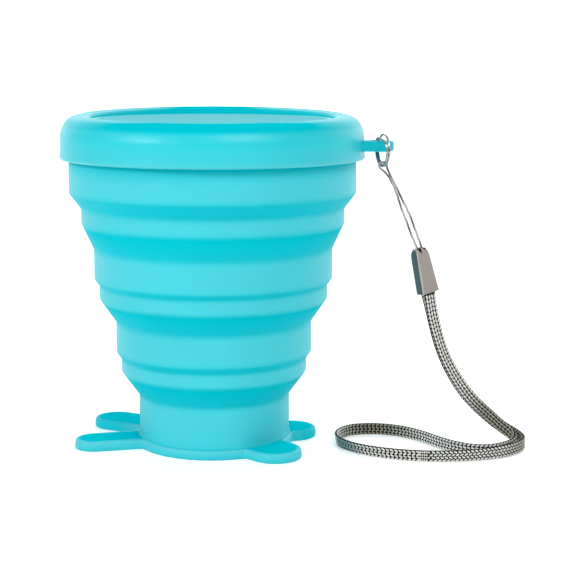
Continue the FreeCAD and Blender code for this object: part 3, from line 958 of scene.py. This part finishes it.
# the oval holes: half their width and depth, how far forward they lie, and the share of the cord's first
# stretch that they reach
SLEEVE_HOLE_SIZE, SLEEVE_HOLE_FORWARD, SLEEVE_HOLE_REACH, SLEEVE_HOLE_SIDES = (0.6, 0.95), 0.5, 0.7, 24


def sleeve_axes():
    """Unit vectors up the sleeve, across its width and out of its face."""
    axis = (SLEEVE_TOP - SLEEVE_BOTTOM).normalized()
    depth_axis = Vector((math.cos(SLEEVE_FACE_HEADING), math.sin(SLEEVE_FACE_HEADING), 0))
    depth_axis = (depth_axis - axis * depth_axis.dot(axis)).normalized()
    return axis, depth_axis.cross(axis).normalized(), depth_axis


def sleeve_body():
    """Tapered body with soft corners and rounded shoulders, its narrow sides in painted shade tinted by a painted
    reflection of the teal cup, with a painted highlight on the faces between side and front.
    """
    axis, width_axis, depth_axis = sleeve_axes()
    length = (SLEEVE_TOP - SLEEVE_BOTTOM).length
    # inset from the full section, height up the sleeve
    levels = [(0.5, 0.0), (0.16, 0.0), (0.04, 0.12), (0.0, 0.35)]
    levels += [(0.0, length * t) for t in (0.15, 0.3, 0.45, 0.6, 0.7)]
    levels += [(0.02, length - 2.2), (0.08, length - 1.6), (0.2, length - 1.1), (0.38, length - 0.65),
               (0.6, length - 0.3), (0.84, length - 0.08), (1.0, length)]
    verts, faces = [], []
    for inset, height in levels:
        half_w, half_d = SLEEVE_BOTTOM_SIZE.lerp(SLEEVE_TOP_SIZE, height / length) / 2 - Vector((inset, inset))
        for c, s in circle(1.0, SLEEVE_RAYS):
            u = squared(c, SLEEVE_SQUARENESS) * half_w
            v = squared(s, SLEEVE_SQUARENESS) * half_d
            verts.append(SLEEVE_BOTTOM + axis * height + width_axis * u + depth_axis * v)
    for level in range(len(levels) - 1):
        faces += band(level * SLEEVE_RAYS, (level + 1) * SLEEVE_RAYS, SLEEVE_RAYS)
    faces.append(list(range(SLEEVE_RAYS)))
    faces.append(list(range(len(verts) - SLEEVE_RAYS, len(verts))))
    body = new_mesh("sleeve_grip", verts, faces, GRIP_FACE, 50.0)
    body.data.materials.append(GRIP_SIDE_PAINTED_SHADE)
    body.data.materials.append(GRIP_EDGE_PAINTED_HIGHLIGHT)
    # faces turned most sideways take the painted shade, those at the rounded edges the painted highlight
    for polygon in body.data.polygons:
        sideways = abs(polygon.normal.dot(width_axis))
        polygon.material_index = 1 if sideways > SIDE_FROM else 2 if sideways > EDGE_FROM else 0
    return body


def make_sleeve():
    """The grip with an oval hole for each leg of the cord, breaking out at the front of its top, its walls painted
    near black as shade.
    """
    body = sleeve_body()
    _, width_axis, depth_axis = sleeve_axes()
    half_w, half_d = SLEEVE_HOLE_SIZE
    oval = [(half_w * c, SLEEVE_HOLE_FORWARD + half_d * s) for c, s in circle(1.0, SLEEVE_HOLE_SIDES)]
    for end, inner in ((CORD_ROUTE_MM[0], CORD_ROUTE_MM[1]), (CORD_ROUTE_MM[-1], CORD_ROUTE_MM[-2])):
        line = [Vector(end) * MM, Vector(end).lerp(Vector(inner), SLEEVE_HOLE_REACH) * MM]
        frame_here = ((line[1] - line[0]).normalized(), width_axis, depth_axis)
        drill = sweep("drill", line, [frame_here] * 2, [oval, oval], GRIP_HOLE_PAINTED_SHADE)
        cut = body.modifiers.new("hole", "BOOLEAN")
        cut.operation = "DIFFERENCE"
        cut.solver = "EXACT"
        cut.material_mode = "TRANSFER"
        cut.object = drill
        bpy.context.view_layer.objects.active = body
        bpy.ops.object.modifier_apply(modifier="hole")
        bpy.data.objects.remove(drill)
    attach(body, "lanyard")
    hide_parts("sleeve")


make_sleeve()

# ---------------------------------------------------------------- floor and light


STAGE_WHITE = (0.85, 0.85, 0.85)
# in metres: half the floor's width, its front edge, the backdrop's place behind it and the backdrop's height
STAGE_HALF, FLOOR_FRONT, BACKDROP_Y, BACKDROP_TOP = 4.0, -3.0, 2.2, 3.0


def plain_material(name, colour, glow):
    """Matt white with a very faint mottle, lit a little from behind like a light table."""
    material, nodes, links, shader = node_material(name)
    mottle = add_noise(nodes, links, 6.0, 2.0, 0.5)
    ramp = add_ramp(nodes, links, mottle.outputs["Fac"], [(0.3, colour), (0.7, tuple(c * 0.995 for c in colour))])
    links.new(ramp.outputs["Color"], shader.inputs["Base Color"])
    shader.inputs["Roughness"].default_value = 0.9
    shader.inputs["Specular IOR Level"].default_value = 0.1
    shader.inputs["Emission Color"].default_value = (1, 1, 1, 1)
    shader.inputs["Emission Strength"].default_value = glow
    return material


def make_stage():
    """Pale floor, and a white backdrop far behind that glows like a lit wall."""
    for name, near, far, glow in (("floor", (FLOOR_FRONT, 0), (BACKDROP_Y, 0), 0.3),
                                  ("backdrop", (BACKDROP_Y, 0), (BACKDROP_Y, BACKDROP_TOP), 1.0)):
        corners = [(-STAGE_HALF, *near), (STAGE_HALF, *near), (STAGE_HALF, *far), (-STAGE_HALF, *far)]
        verts = [tuple(c / MM for c in corner) for corner in corners]
        piece = new_mesh(name, verts, [[0, 1, 2, 3]], plain_material(name + "_white", STAGE_WHITE, glow))


def area_light(name, at, towards, size, power):
    data = bpy.data.lights.new(name, "AREA")
    data.shape = "RECTANGLE"
    data.size, data.size_y = size
    data.energy = power
    light = bpy.data.objects.new(name, data)
    bpy.context.scene.collection.objects.link(light)
    light.location = at
    light.rotation_euler = (Vector(towards) - Vector(at)).to_track_quat("-Z", "Y").to_euler()


def make_light():
    """An even white surround, a key from the right, a fill from the left and a wash on the floor behind."""
    world = bpy.data.worlds.new("studio")
    bpy.context.scene.world = world
    world.use_nodes = True
    background = world.node_tree.nodes["Background"]
    background.inputs["Color"].default_value = (1.0, 1.0, 1.0, 1)
    background.inputs["Strength"].default_value = 0.4
    cup_middle = (0, 0, 0.05)
    area_light("key_right", (0.5, -0.62, 0.85), cup_middle, (0.55, 0.45), 5.4)
    area_light("fill_left", (-0.7, -0.8, 0.6), cup_middle, (0.5, 0.22), 6.4)
    area_light("floor_wash", (0.0, 1.3, 1.4), (0, 1.1, 0), (2.0, 1.2), 10.0)
    scene = bpy.context.scene
    scene.view_settings.view_transform = "Standard"
    scene.view_settings.look = "None"


make_stage()
make_light()
